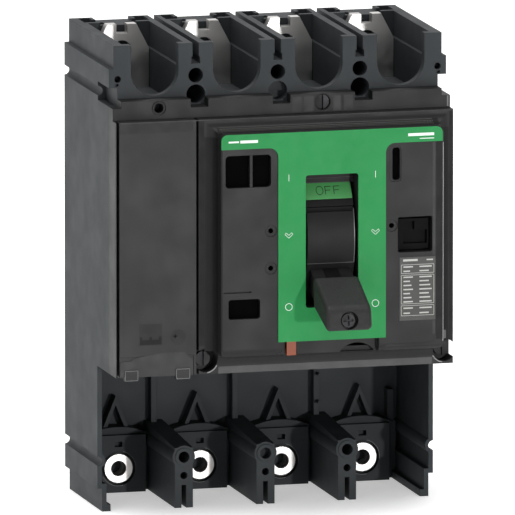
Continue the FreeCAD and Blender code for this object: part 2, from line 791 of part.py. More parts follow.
def make_springs():
    coils = [coil(Vector(side * 7.0, -35.8, 0), 21.0, 8, 2.1, 0.5, "y") for side in (1, -1)]
    node("main_springs", group(*coils), TOGGLE_BASE, "toggle_angle")


# -------------------------------------------------------------------- covers

WIDE_WINDOW = ("-35.7", "-10.8")
WINDOW_BAR = ("-22.3", "-20.8")
SCREW_PLACES = (("-43.5", "-41"), ("87.5", "-41"))
BAND_SCREW = ("22.5", "94.1")
BAND_BOSS = ("-67.3", "94.5")


def make_front_case():
    """Deck behind the covers, with the band above them."""
    deck = block(span("0", "half_width"), ("-deck_front", "-shoulder"), ("bay_top", "cover_top"))
    band = block(span("0", "half_width"), ("-band_front", "-shoulder"), ("cover_top", "95"))
    band_top = block(span("0", "87.9"), ("-band_front", "-shoulder"), ("94", "band_top"))
    cuts = [block(span("toggle_x", "15.5"), ("-deck_front - 1", "1 - shoulder"), span("axis_z", "43.7"))]
    front = ("-band_front - 1", "1 - shoulder")
    for centre in GAPS:
        cuts.append(block(span(centre, "notch_half"), front, ("notch_low", "band_top + 1")))
    cuts.append(rod("y", BAND_SCREW, ("-band_front - 1", "4.4 - band_front"), "4.1"))
    cuts.append(rod("y", BAND_SCREW, front, "2.1"))
    cuts.append(rod("y", BAND_BOSS, front, "2.6"))
    cuts.append(cut(rod("y", BAND_BOSS, ("-band_front - 1", "0.6 - band_front"), "3.9"),
                    rod("y", BAND_BOSS, ("-band_front - 2", "2 - band_front"), "3.3")))
    node("front_case", cut(fuse(deck, band, band_top), *cuts))


def cove_ring():
    """The hollow fillet that leads from the cover up to the island."""
    low_x = "island_left - cove"
    high_x = "island_right + cove"
    low_z = "island_low - cove"
    high_z = "island_high + cove"
    front = "-cover_front - cove"
    ring = block((low_x, high_x), (front, "1 - cover_front"), (low_z, high_z))
    across = (f"{low_x} - 1", f"{high_x} + 1")
    height = (f"{low_z} - 1", f"{high_z} + 1")
    cuts = [rod("z", (place, front), height, "cove") for place in (low_x, high_x)]
    cuts += [rod("x", (front, place), across, "cove") for place in (low_z, high_z)]
    return cut(ring, *cuts)


def soft_lower_edge():
    """What is taken off the lower front edge of the island to round it."""
    across = ("island_left - 1", "island_right + 1")
    depth = ("-island_front - 1", "island_soft - island_front")
    height = ("island_low - 1", "island_low + island_soft")
    round_bar = rod("x", (depth[1], height[1]), ("island_left - 2", "island_right + 2"), "island_soft")
    return cut(block(across, depth, height), round_bar)


def margin_step():
    """The lowered margin to the right of the label panel and below it."""
    depth = ("-island_front - 1", "margin_depth - island_front")
    area = block(("green_right", "island_right + 1"), depth, ("island_low - 1", "green_strip"))
    panel = block(("0", "margin_left"), ("-island_front - 2", "1 - island_front"),
                  ("margin_low", "island_high + 9"))
    return cut(area, rounded(panel, 5, "y"))


def make_accessory_cover():
    outside = block(("cover_left", "half_width"), ("-cover_front", "-deck_front"), ("bay_top", "cover_top"))
    island_box = block(("island_left", "island_right"), ("-island_front", "1 - cover_front"),
                       ("island_low", "island_high"))
    right = SIZES["island_right"]
    front = -SIZES["island_front"]
    island = rounded(island_box, 3.5, "y")
    island = rounded(island, 1.0, "z", lambda middle: middle.x > right - 4 and middle.y < front + 1)
    island = cut(island, soft_lower_edge())
    hollow = [
        block(("cover_left + skin", "half_width - skin"), ("skin - cover_front", "1 - deck_front"),
              ("bay_top + skin", "cover_top - skin")),
        block(("island_left + skin", "island_right - skin"),
              ("skin - island_front", "skin + 1 - cover_front"),
              ("island_low + skin", "island_high - skin")),
    ]
    shell = cut(fuse(outside, island, cove_ring()), *hollow)
    added = [
        # walls of the toggle opening
        block(("window_left - skin", "window_right + skin"), ("1 - island_front", "-107.5"),
              ("window_low - skin", "window_high + skin")),
        block(("window_left - skin", "window_left"), ("1 - island_front", "-deck_front"),
              ("window_low - 4", "window_high + 4")),
        block(("window_right", "window_right + skin"), ("1 - island_front", "-deck_front"),
              ("window_low - 4", "window_high + 4")),
        # bottom of the square socket
        block(("57", "79.5"), ("1 - island_front", "-111"), ("12.7", "35.4")),
        # floor of the notch below the faceplate
        block(("notch_left - skin", "notch_right + skin"), ("1 - island_front", "skin - notch_front"),
              ("island_low + 1", "green_low + skin")),
        # seats of the dark inserts
        block(("-37", "-9.5"), ("1 - island_front", "insert_back + 2.3 - island_front"), ("51.5", "71.8")),
        block(("-36", "-15"), ("1 - island_front", "insert_back + 2.3 - island_front"), ("-19.5", "-5")),
        block(("53", "61"), ("1 - island_front", "insert_back + 2.3 - island_front"), ("52", "72.5")),
    ]
    # screw bosses
    added.append(block(("cover_left", "-36"), ("-107.8", "-deck_front"), ("bay_top", "-33")))
    added.append(block(("80", "half_width"), ("-107.8", "-deck_front"), ("bay_top", "-33")))
    # lugs of the trip lever
    for place in ("-4.3", "7.2"):
        added.append(block((place, f"{place} + 2.6"), ("1 - island_front", "-104.5"), span("trip_z", "3.4")))
    face = "-island_front - 1"
    finger = ("-notch_front - 1", "4 - notch_front")
    cuts = [
        rounded(block(("window_left", "window_right"), (face, "-107.4"),
                      ("window_low", "window_high")), 1.5, "y"),
        block(("window_left - 0.1", "window_right + 0.1"), ("-107.5", "1 - deck_front"),
              ("window_low - 5", "window_high + 5")),
        rounded(block(("58.8", "77.7"), (face, "-113"), ("14.5", "33.6")), 1.2, "y"),
        block(("notch_left", "notch_right"), (face, "-notch_front"), ("island_low - 1", "green_low")),
        block(span("trip_x", "trip_half + 0.6"), (face, "4 - notch_front"), ("trip_slot_low", "green_low")),
        block(span("trip_x", "trip_half + 0.6"), ("skin - island_front", "4 - notch_front"),
              ("trip_slot_low", "green_low + skin + 1")),
        # one wide window, with a thin bar left standing across it
        cut(rounded(block(WIDE_WINDOW, (face, "insert_back - island_front"), ("53", "70.3")), 2.0, "y"),
            block(WINDOW_BAR, ("0.4 - island_front", "skin + insert_back - island_front"), ("52", "71.3"))),
        rounded(block(("-34.1", "-16.8"), (face, "insert_back - island_front"), ("-17.6", "-7")), 1.5, "y"),
        rounded(block(("55.9", "60"), (face, "insert_back - island_front"), ("53.6", "71.1")), 1.5, "y"),
        rounded(block(("54.2", "60.6"), (face, "0.5 - island_front"), ("52.8", "71.9")), 1.8, "y"),
        block(("-36.7", "-21.6"), (face, "1.2 - island_front"), ("-3.5", "-2.8")),
        # finger slot in the floor of the notch
        common(rod("y", ("37.7", "-45.9"), finger, "12.2"),
               block(("20", "55"), finger, ("island_low - 0.1", "green_low"))),
        margin_step(),
        rod("x", ("trip_y", "trip_z"), ("-10", "14"), "trip_pin_radius"),
    ]
    for place in (("-10.8", "29.2"), ("-10.8", "9.1"), ("55.4", "29.2")):
        cuts.append(rod("y", place, (face, "0.6 - island_front"), "3.2"))
        cuts.append(rod("y", place, (face, "skin + 1 - island_front"), "1.35"))
    for place in SCREW_PLACES:
        cuts.append(rod("y", place, ("-cover_front - 4", "-recess_floor"), "recess_radius"))
        cuts.append(rod("y", place, ("-recess_floor - 1", "1 - deck_front"), "2.1"))
    node("accessory_cover", cut(fuse(shell, *added), *cuts))


def make_neutral_cover():
    outside = block(("-half_width", "neutral_right"), ("-cover_front", "-deck_front"),
                    ("bay_top", "cover_top"))
    inside = block(("skin - half_width", "neutral_right - skin"), ("skin - cover_front", "1 - deck_front"),
                   ("bay_top + skin", "cover_top - skin"))
    cuts = [inside, block(("-90.9", "-50"), ("-cover_front - 1", "0.4 - cover_front"), ("-49", "-37.5"))]
    cuts.append(block(("0.45 - half_width", "1.9 - half_width"), ("-cover_front - 1", "6 - cover_front"),
                      ("bay_top - 1", "cover_top + 1")))
    tabs = [block(x, ("-cover_front - 0.6", "2 - cover_front"), ("bay_top - 1.8", "bay_top + 3.8"))
            for x in (("-87.8", "-80.5"), ("-59.8", "-52.1"))]
    node("neutral_cover", fuse(cut(outside, *cuts), *tabs))


def make_faceplate():
    depth = ("-plate_face", "-island_front")
    through = ("-plate_face - 1", "1 - island_front")
    strip = block(("island_left", "island_right - 1"), depth, ("green_strip", "island_high"))
    strip = rounded(strip, 3.4, "y", lambda middle: middle.z > SIZES["island_high"] - 1)
    band = block(("green_left", "green_right"), depth, ("green_low", "green_strip + 2"))
    solids = [strip, band]
    for inner, outer in (("green_left", "green_left - 5"), ("green_right", "green_right + 5")):
        low, high = (outer, inner) if inner == "green_left" else (inner, outer)
        corner = block((low, high), depth, ("green_strip - 5", "green_strip"))
        solids.append(cut(corner, rod("y", (outer, "green_strip - 5"), through, "5")))
    opening = block(("window_left", "window_right"), through, ("window_low", "window_high"))
    node("faceplate", cut(fuse(*solids), rounded(opening, 1.5, "y")))


def make_rating_label():
    node("rating_label", block(("59.7", "79.4"), ("-island_front - 0.3", "-island_front"), ("-22.2", "11.8")))


def make_window_inserts():
    """Dark inserts that close the accessory windows."""
    depth = ("insert_face - island_front", "insert_back - island_front")
    wide = rounded(block(WIDE_WINDOW, depth, ("53", "70.3")), 2.0, "y")
    pair = cut(wide, block(WINDOW_BAR, ("-island_front", "-cover_front"), ("52", "71.3")))
    places = [
        (("-34.1", "-16.8"), ("-17.6", "-7"), 1.5),
        (("55.9", "60"), ("53.6", "71.1"), 1.5),
    ]
    inserts = [rounded(block(x, depth, z), radius, "y") for x, z, radius in places]
    node("window_inserts", group(pair, *inserts))


def make_test_socket():
    """The connector frame inside the square recess: a notched shelf above a wide opening."""
    front = ("-118.5", "-115")
    body = block(("60.2", "76.9"), ("-117.5", "-113"), ("15.4", "31.8"))
    node("test_socket", cut(body, block(("62.9", "76"), front, ("18.4", "25.6")),
                            block(("64.6", "69.1"), front, ("25", "30.4"))))


def slotted_screw(place, front, back, head_radius, end):
    head = rod("y", place, (front, back), head_radius)
    shank = rod("y", place, (f"{back} - 1", end), "1.9")
    slot = block(span(place[0], "head_slot_half"), (f"{front} - 1", f"{front} + 1.2"),
                 span(place[1], f"{head_radius} + 1"))
    return cut(fuse(head, shank), slot)


def make_cover_screws():
    screws = [slotted_screw(place, "-recess_floor - 2.5", "-recess_floor", "4", "-deck_front")
              for place in SCREW_PLACES]
    screws.append(slotted_screw(BAND_SCREW, "1.4 - band_front", "4.4 - band_front", "3.9", "-shoulder"))
    node("cover_screws", group(*screws))


# --------------------------------------------------------------- trip lever

def make_trip_lever():
    across = span("trip_x", "trip_half")
    barrel = rod("x", ("trip_y", "trip_z"), ("-1.4", "4.6"), "trip_barrel")
    arm = block(across, ("-trip_face", "trip_y"), span("trip_z", "1.8"))
    tab = block(across, ("-trip_face", "2.4 - trip_face"), ("trip_low", "trip_z + 1.8"))
    hole = rod("x", ("trip_y", "trip_z"), ("-4", "8"), "trip_pin_radius + 0.35")
    node("trip_lever", cut(fuse(barrel, arm, tab), hole))
    node("trip_pin", rod("x", ("trip_y", "trip_z"), ("-4.3", "9.8"), "trip_pin_radius"))
    node("trip_spring", coil(Vector(5.05, SIZES["trip_y"], SIZES["trip_z"]), 1.75, 1.75, 2.2, 0.3, "x"))


def make_poles():
    for number, centre in POLES.items():
        make_upper_terminal(number, centre)
        make_lower_conductor(number, centre)
        make_lower_terminal(number, centre)
        make_cartridge(number, centre)
        make_rotor(number, centre)
        make_contact_arm(number, centre)
        make_arc_chute(f"arc_chute_upper_{number}", centre, ("-33", "-11"), "51.5")
        make_arc_chute(f"arc_chute_lower_{number}", centre, ("-55", "-33"), "-24.5")


def write_parts():
    doc.recompute()
    for thing in doc.Objects:
        if "Invalid" in thing.State or "Error" in thing.State:
            raise RuntimeError(f"{thing.Name} ({thing.Label}) failed: {thing.State}")
    os.makedirs("parts", exist_ok=True)
    for piece in NODES:
        shape = piece.Shape
        if shape.isNull() or not shape.isValid() or not shape.Solids:
            raise RuntimeError(f"{piece.Label} has no sound shape")
        shape.exportStep(f"parts/{piece.Label}.step")
        print(f"{piece.Label}: {len(shape.Solids)} solids, {shape.Volume / 1000:.1f} cm3")


make_housing()
make_lower_blocks()
make_poles()
make_shaft_rods()
make_crank_pin()
make_mechanism_frame()
make_toggle_handle()
make_toggle_grip()
make_toggle_screw()
make_position_labels()
make_toggle_lever()
make_springs()
make_front_case()
make_accessory_cover()
make_neutral_cover()
make_faceplate()
make_rating_label()
make_window_inserts()
make_test_socket()
make_cover_screws()
make_trip_lever()
write_parts()
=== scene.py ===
import json
import math

import bpy
import bmesh
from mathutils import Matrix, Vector


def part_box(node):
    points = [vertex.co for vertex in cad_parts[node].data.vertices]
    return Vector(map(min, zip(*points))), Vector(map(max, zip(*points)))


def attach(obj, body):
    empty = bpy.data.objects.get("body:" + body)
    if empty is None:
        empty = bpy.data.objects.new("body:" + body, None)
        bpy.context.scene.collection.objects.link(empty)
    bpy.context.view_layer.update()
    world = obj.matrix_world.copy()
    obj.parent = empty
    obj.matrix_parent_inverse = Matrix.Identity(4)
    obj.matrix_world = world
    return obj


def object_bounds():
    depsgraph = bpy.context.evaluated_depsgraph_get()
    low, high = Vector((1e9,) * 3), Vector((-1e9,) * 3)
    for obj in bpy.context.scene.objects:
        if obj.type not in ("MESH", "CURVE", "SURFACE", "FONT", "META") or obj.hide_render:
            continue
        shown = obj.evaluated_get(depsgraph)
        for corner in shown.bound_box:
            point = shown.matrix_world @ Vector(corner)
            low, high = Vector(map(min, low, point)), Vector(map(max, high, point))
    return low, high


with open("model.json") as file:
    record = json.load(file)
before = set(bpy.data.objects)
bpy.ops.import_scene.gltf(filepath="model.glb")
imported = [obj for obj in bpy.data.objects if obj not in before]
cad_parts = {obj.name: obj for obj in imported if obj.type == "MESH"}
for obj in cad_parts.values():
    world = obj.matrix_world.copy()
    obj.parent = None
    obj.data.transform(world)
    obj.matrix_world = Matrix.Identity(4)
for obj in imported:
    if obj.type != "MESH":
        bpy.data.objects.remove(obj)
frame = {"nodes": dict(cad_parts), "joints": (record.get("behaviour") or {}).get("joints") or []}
CAD_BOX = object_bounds()
NODES = frame["nodes"]
JOINTS = {joint["name"]: joint for joint in frame["joints"]}
PIVOT = Vector(JOINTS["toggle_throw"]["pos_m"])
MM = 0.001
POLES = (1, 2, 3, 4)

COVER_Y = -110 * MM             # front of the flat covers
TAB_Y = -110.6 * MM             # front of the neutral cover's two tabs
BAND_Y = -103.5 * MM            # front of the band above the covers
ISLAND_Y = -121.7 * MM          # front of the raised island's rim
PANEL_Y = -122.2 * MM           # front of the dark panels on the island
VISOR_Y = -112.4 * MM           # back of the guard in the toggle's opening
VISOR_THICK = 0.5 * MM
FILM = 0.03 * MM                # thickness of a tinted film
COAT = 0.04 * MM                # thickness of a painted coat of shade or highlight
SHIELD_RADIUS = 48.5 * MM       # outside of the toggle's shield
LABEL_RADIUS = 48.8 * MM        # outside of the labels on it
REST_TURN = math.radians(23.4)  # the toggle's angle below level at rest


# ---------------------------------------------------------------- materials

class Recipe:
    """A material being built: its shader and short ways to add nodes."""

    def __init__(self, name, colour, roughness, edge=0.0, **sockets):
        self.material = bpy.data.materials.new(name)
        self.material.use_nodes = True
        self.tree = self.material.node_tree
        self.shader = self.tree.nodes["Principled BSDF"]
        self.coords = self.add("ShaderNodeTexCoord").outputs["Object"]
        self.set(**{"Base Color": (*colour, 1), "Roughness": roughness}, **sockets)
        self.normal = None
        if edge:
            bevel = self.add("ShaderNodeBevel", samples=4)
            bevel.inputs["Radius"].default_value = edge
            self.normal = bevel.outputs["Normal"]
            self.link(self.normal, self.shader.inputs["Normal"])

    def set(self, **sockets):
        for name, value in sockets.items():
            self.shader.inputs[name.replace("_", " ")].default_value = value

    def add(self, kind, **settings):
        node = self.tree.nodes.new(kind)
        for name, value in settings.items():
            setattr(node, name, value)
        return node

    def link(self, source, target):
        self.tree.links.new(source, target)

    def noise(self, scale, detail, stretch=(1, 1, 1)):
        """Noise in the object's own metres; stretch draws it out along an axis."""
        mapping = self.add("ShaderNodeMapping")
        mapping.inputs["Scale"].default_value = stretch
        self.link(self.coords, mapping.inputs["Vector"])
        noise = self.add("ShaderNodeTexNoise")
        noise.inputs["Scale"].default_value = scale
        noise.inputs["Detail"].default_value = detail
        noise.inputs["Roughness"].default_value = 0.5
        self.link(mapping.outputs["Vector"], noise.inputs["Vector"])
        return noise.outputs["Fac"]

    def ranged(self, source, low, high, start=0.3, end=0.7):
        scale = self.add("ShaderNodeMapRange")
        scale.inputs["From Min"].default_value = start
        scale.inputs["From Max"].default_value = end
        scale.inputs["To Min"].default_value = low
        scale.inputs["To Max"].default_value = high
        self.link(source, scale.inputs["Value"])
        return scale.outputs["Result"]

    def vary_colour(self, source, colour, darker, lighter):
        """Cloud the base colour between two factors of it; 6, 7 and 2 are the colour sockets."""
        mix = self.add("ShaderNodeMix", data_type="RGBA")
        mix.inputs[6].default_value = (*shade(colour, darker), 1)
        mix.inputs[7].default_value = (*shade(colour, lighter), 1)
        self.link(source, mix.inputs[0])
        self.link(mix.outputs[2], self.shader.inputs["Base Color"])

    def vary_roughness(self, source, low, high):
        self.link(self.ranged(source, low, high), self.shader.inputs["Roughness"])

    def bump(self, source, strength, distance):
        bump = self.add("ShaderNodeBump")
        bump.inputs["Strength"].default_value = strength
        bump.inputs["Distance"].default_value = distance
        self.link(source, bump.inputs["Height"])
        if self.normal is not None:
            self.link(self.normal, bump.inputs["Normal"])
        self.normal = bump.outputs["Normal"]
        self.link(self.normal, self.shader.inputs["Normal"])


def shade(colour, factor):
    return tuple(channel * factor for channel in colour)


def moulded(name, colour, roughness, grain=900, depth=0.08, spread=0.06, edge=0.35 * MM, **sockets):
    """Moulded plastic: fine spark-eroded grain, with faint flow shading."""
    recipe = Recipe(name, colour, roughness, edge, **sockets)
    cloud = recipe.noise(14, 4)
    recipe.vary_colour(recipe.ranged(cloud, 0, 1), colour, 1 - spread, 1 + spread)
    recipe.vary_roughness(recipe.noise(60, 2), roughness - 0.05, roughness + 0.05)
    recipe.bump(recipe.noise(grain, 1), depth, 0.00008)
    return recipe.material


def printed(name, colour, roughness, spread=0.05, **sockets):
    """Printed or painted film: nearly even, with a faint orange-peel surface."""
    recipe = Recipe(name, colour, roughness, **sockets)
    recipe.vary_colour(recipe.ranged(recipe.noise(30, 3), 0, 1), colour, 1 - spread, 1 + spread)
    recipe.vary_roughness(recipe.noise(180, 3), roughness - 0.05, roughness + 0.06)
    recipe.bump(recipe.noise(650, 2), 0.05, 0.0001)
    return recipe.material


def metal(name, colour, roughness, stretch=(1, 1, 1), spread=0.08):
    """Plated or drawn metal, with the lines left by rolling or turning."""
    recipe = Recipe(name, colour, roughness, 0.15 * MM, Metallic=1.0)
    recipe.vary_colour(recipe.ranged(recipe.noise(45, 4), 0, 1), colour, 1 - spread, 1 + spread)
    lines = recipe.noise(1400, 2, stretch)
    recipe.vary_roughness(recipe.noise(120, 4), roughness - 0.08, roughness + 0.12)
    recipe.bump(lines, 0.10, 0.00005)
    return recipe.material


def knurled(name, colour, roughness, pitch):
    """Soft black grip with a fine moulded pattern."""
    recipe = Recipe(name, colour, roughness, 0.5 * MM, Specular_IOR_Level=0.35)
    recipe.vary_colour(recipe.ranged(recipe.noise(60, 3), 0, 1), colour, 0.85, 1.2)
    recipe.vary_roughness(recipe.noise(400, 2), roughness - 0.06, roughness + 0.06)
    cells = recipe.add("ShaderNodeTexVoronoi")
    cells.inputs["Scale"].default_value = 1 / pitch
    recipe.link(recipe.coords, cells.inputs["Vector"])
    recipe.bump(cells.outputs["Distance"], 0.35, 0.0003)
    recipe.bump(recipe.noise(1500, 2), 0.1, 0.0001)
    return recipe.material


def every_pole(*stems):
    return [f"{stem}_{number}" for stem in stems for number in POLES]


def make_materials():
    """Every look by a short name, put on the CAD nodes that wear it."""
    looks = {
        "case": moulded("case_plastic", (0.0275, 0.0315, 0.0345), 0.60, Specular_IOR_Level=0.20),
        "cover": moulded("cover_plastic", (0.0103, 0.0103, 0.0103), 0.50, depth=0.04, spread=0.03,
                         Specular_IOR_Level=0.24),
        "neutral": moulded("neutral_plastic", (0.0146, 0.0146, 0.0146), 0.50, depth=0.04, spread=0.03,
                           Specular_IOR_Level=0.26),
        # Nearly black: parts seen through the smoky covers, and painted shade in the hollow round the island
        # and on the borders and margin beside it.
        "faint": printed("faint_dark", (0.0080, 0.0080, 0.0080), 0.55, Specular_IOR_Level=0.18),
        # A lighter foot on the neutral cover, and painted highlights along the covers' top edge and down the
        # panel's right side.
        "pale": printed("faint_light", (0.0200, 0.0202, 0.0202), 0.48, Specular_IOR_Level=0.28),
        # A painted sheen on the main cover's bottom strip, which is turned up to the light.
        "sheen": printed("faint_sheen", (0.030, 0.030, 0.030), 0.4, Specular_IOR_Level=0.35),
        # Brighter tin painted on the lit side of each terminal's bore.
        "bore": metal("painted_lit_side_tin", (0.34, 0.31, 0.30), 0.6),
        "shade": printed("faint_shade", (0.0110, 0.0110, 0.0110), 0.52, Specular_IOR_Level=0.24),
        "web": printed("faint_web", (0.0150, 0.0150, 0.0150), 0.48, Specular_IOR_Level=0.26),
        "visor": moulded("visor_plastic", (0.009, 0.010, 0.009), 0.5, edge=0.0, Specular_IOR_Level=0.15),
        # A near-black coat of painted shade, laid in hollows, in gaps and round a screw.
        "shade_coat": printed("cove_shade_coat", (0.006, 0.006, 0.006), 0.6, Specular_IOR_Level=0.15),
        # Painted highlights: bright lines along edges, and glints.
        "edge_light": printed("edge_light", (0.075, 0.076, 0.076), 0.35),
        "gloss": printed("gloss_light", (0.17, 0.17, 0.17), 0.3),
        "ribs": moulded("rib_plastic", (0.085, 0.085, 0.08), 0.4, edge=0.0),
        "green": printed("green_panel", (0.011, 0.215, 0.054), 0.55, Specular_IOR_Level=0.25),
        "label": printed("rating_grey", (0.047, 0.048, 0.044), 0.5, Specular_IOR_Level=0.35),
        "ink": printed("white_ink", (0.72, 0.78, 0.74), 0.5),
        "grey_ink": printed("grey_ink", (0.40, 0.40, 0.38), 0.5),
        "dark_ink": printed("dark_ink", (0.012, 0.03, 0.012), 0.5),
        "insert": moulded("insert_black", (0.001, 0.001, 0.001), 0.8, depth=0.02, edge=0.0,
                          Specular_IOR_Level=0.03),
        "socket": moulded("socket_plastic", (0.0025, 0.0025, 0.003), 0.6, edge=0.0, Specular_IOR_Level=0.08),
        "screw": metal("screw_steel", (0.022, 0.022, 0.023), 0.45, spread=0.15),
        "cartridge": moulded("cartridge_plastic", (0.20, 0.08, 0.045), 0.55),
        "rotor": moulded("rotor_plastic", (0.03, 0.03, 0.03), 0.5),
        "copper": metal("copper", (0.72, 0.38, 0.24), 0.3, stretch=(1, 0.1, 1)),
        "tin": metal("tinned_copper", (0.62, 0.605, 0.59), 0.40, stretch=(1, 1, 0.08)),
        "ring": metal("turned_tin", (0.84, 0.81, 0.79), 0.36),
        "steel": metal("mechanism_steel", (0.55, 0.55, 0.57), 0.35, stretch=(0.1, 1, 1)),
        "blackened": metal("blackened_steel", (0.012, 0.012, 0.013), 0.6),
        "spring": metal("spring_steel", (0.38, 0.38, 0.40), 0.3),
        "toggle": moulded("toggle_plastic", (0.0080, 0.0080, 0.0080), 0.5, depth=0.02, spread=0.03,
                          Specular_IOR_Level=0.14),
        "grip": knurled("grip_rubber", (0.0108, 0.0108, 0.0108), 0.62, 0.9 * MM),
        "position": printed("position_green", (0.062, 0.275, 0.082), 0.45),
        "orange": moulded("trip_orange", (0.24, 0.045, 0.009), 0.5),
    }
    worn_by = {
        "case": ("housing", "lower_blocks"),
        "cover": ("front_case", "accessory_cover"),
        "neutral": ("neutral_cover",),
        "green": ("faceplate",),
        "label": ("rating_label",),
        "insert": ("window_inserts",),
        "socket": ("test_socket",),
        "screw": ("cover_screws", "toggle_screw"),
        "cartridge": every_pole("pole_cartridge"),
        "rotor": every_pole("rotor"),
        "copper": every_pole("load_conductor", "contact_arm"),
        "tin": every_pole("upper_terminal"),
        "ring": every_pole("lower_terminal"),
        "steel": ("contact_shaft_rods", "crank_pin", "mechanism_plate_left", "mechanism_plate_right",
                  "mechanism_spacers", "toggle_pivot", "trip_pin",
                  *every_pole("arc_chute_upper", "arc_chute_lower")),
        "blackened": ("toggle_lever",),
        "spring": ("main_springs", "trip_spring"),
        "toggle": ("toggle_handle",),
        "grip": ("toggle_grip",),
        "position": ("off_label", "on_label"),
        "orange": ("trip_lever",),
    }
    for look, names in worn_by.items():
        for name in names:
            slots = NODES[name].data.materials
            slots.clear()
            slots.append(looks[look])
    return looks


# ------------------------------------------------------------------- pieces

class Marks:
    """Thin raised strokes on a surface; place maps (across, up, out) to the row frame."""

    def __init__(self, place, thickness=0.05 * MM):
        self.place = place
        self.thickness = thickness
        self.mesh = bmesh.new()

    def bar(self, start, end, width, step=0.002):
        """One straight stroke, cut into short lengths so that it can follow a curve."""
        start, end = Vector(start), Vector(end)
        run = end - start
        across = Vector((-run.y, run.x)).normalized() * width / 2
        count = max(1, math.ceil(run.length / step))
        rows = []
        for index in range(count + 1):
            middle = start + run * index / count
            row = []
            for side, out in ((-1, 0), (1, 0), (1, 1), (-1, 1)):
                flat = middle + across * side
                row.append(self.mesh.verts.new(self.place(flat.x, flat.y, out * self.thickness)))
            rows.append(row)
        for first, second in zip(rows, rows[1:]):
            for corner in range(4):
                after = (corner + 1) % 4
                self.mesh.faces.new((first[corner], first[after], second[after], second[corner]))
        self.mesh.faces.new(rows[0][::-1])
        self.mesh.faces.new(rows[-1])

    def path(self, points, width):
        for start, end in zip(points, points[1:]):
            self.bar(start, end, width)

    def patch(self, points):
        """A flat filled outline, given anticlockwise."""
        low = [self.mesh.verts.new(self.place(x, z, 0)) for x, z in points]
        high = [self.mesh.verts.new(self.place(x, z, self.thickness)) for x, z in points]
        self.mesh.faces.new(high)
        self.mesh.faces.new(low[::-1])
        for index in range(len(points)):
            after = (index + 1) % len(points)
            self.mesh.faces.new((low[index], low[after], high[after], high[index]))

    def ring(self, centre, radius, width, tall=1.0, count=40):
        """A closed oval band."""
        loops = []
        for index in range(count):
            turn = 2 * math.pi * index / count
            row = []
            for reach, out in ((-1, 0), (1, 0), (1, 1), (-1, 1)):
                spoke = radius + reach * width / 2
                row.append(self.mesh.verts.new(self.place(
                    centre[0] + spoke * math.cos(turn),
                    centre[1] + (radius * tall + reach * width / 2) * math.sin(turn),
                    out * self.thickness)))
            loops.append(row)
        for index in range(count):
            first, second = loops[index], loops[(index + 1) % count]
            for corner in range(4):
                after = (corner + 1) % 4
                self.mesh.faces.new((first[corner], first[after], second[after], second[corner]))

    def done(self, name, body, material):
        bmesh.ops.recalc_face_normals(self.mesh, faces=self.mesh.faces)
        data = bpy.data.meshes.new(name)
        self.mesh.to_mesh(data)
        self.mesh.free()
        data.materials.append(material)
        piece = bpy.data.objects.new(name, data)
        bpy.context.scene.collection.objects.link(piece)
        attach(piece, body)


def facing(y):
    """A flat surface that faces -Y: across is X, up is Z."""
    return lambda across, up, out: Vector((across, y - out, up))


def mm(*values):
    return tuple(value * MM for value in values)


def rectangle(left, right, low, high):
    return [mm(left, low), mm(right, low), mm(right, high), mm(left, high)]


def arc(centre, radius, start, end, count=16):
    turns = [math.radians(start + (end - start) * index / count) for index in range(count + 1)]
    return [(centre[0] + radius * math.cos(turn), centre[1] + radius * math.sin(turn)) for turn in turns]


def make_faceplate_marks(looks):
    """ON and OFF signs, trip arrows and plain bars in place of words."""
    marks = Marks(facing(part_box("faceplate")[0].y))
    reach = 23.75 * MM
    rise = 34.7 * MM
    line = 0.26 * MM
    for side in (-1, 1):
        x = PIVOT.x + side * reach
        marks.bar((x, PIVOT.z + rise - 1.8 * MM), (x, PIVOT.z + rise + 1.8 * MM), line)
        marks.ring((x, PIVOT.z - rise), 1.85 * MM, line)
        outline = ((0, 2.3), (2.2, 4.3), (1.6, 5.2), (0, 3.8), (-1.6, 5.2), (-2.2, 4.3), (0, 2.3))
        marks.path([(x + across * MM, PIVOT.z + up * MM) for across, up in outline], 0.19 * MM)
    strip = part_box("faceplate")[1].z - 3.9 * MM
    lower_strip = strip - 2.2 * MM
    for start, end, width in ((-34.2, -28.6, 0.9), (-27.8, -18.2, 1.5), (64.2, 78.4, 1.5)):
        marks.bar((start * MM, strip), (end * MM, strip), width * MM)
    marks.bar((70.5 * MM, lower_strip), (78.4 * MM, lower_strip), 0.4 * MM)
    marks.done("faceplate_marks", "case", looks["ink"])


def on_toggle(radius, middle=0.0):
    """A drum round the toggle's hinge: up runs round it from an angle on the toggle."""
    def place(across, up, out):
        turn = middle + up / radius - REST_TURN
        reach = radius + out
        return Vector((PIVOT.x + across, PIVOT.y - reach * math.cos(turn), PIVOT.z + reach * math.sin(turn)))
    return place


def make_position_letters(looks):
    """OFF and ON, printed on the curved labels of the toggle's shield."""
    stroke = 0.42 * MM
    tall = 4.8 * MM
    wide = 3.2 * MM
    gap = 1.5 * MM
    for word, side in (("OFF", 1), ("ON", -1)):
        marks = Marks(on_toggle(LABEL_RADIUS, side * math.radians(55.2)))
        start = -((len(word) - 1) * (wide + gap)) / 2
        for index, letter in enumerate(word):
            x = start + index * (wide + gap)
            left, right = x - wide / 2, x + wide / 2
            low, high = -tall / 2, tall / 2
            if letter == "O":
                marks.ring((x, 0), wide / 2 + 0.3 * MM, stroke, tall=tall / (wide + 0.6 * MM))
            elif letter == "F":
                marks.bar((left, low), (left, high), stroke)
                marks.bar((left, high - stroke / 2), (right, high - stroke / 2), stroke)
                marks.bar((left, 0), (right - 0.5 * MM, 0), stroke)
            else:
                marks.bar((left, low), (left, high), stroke)
                marks.bar((right, low), (right, high), stroke)
                marks.bar((left, high), (right, low), stroke)
        marks.done(f"{word.lower()}_letters", "toggle", looks["dark_ink"])


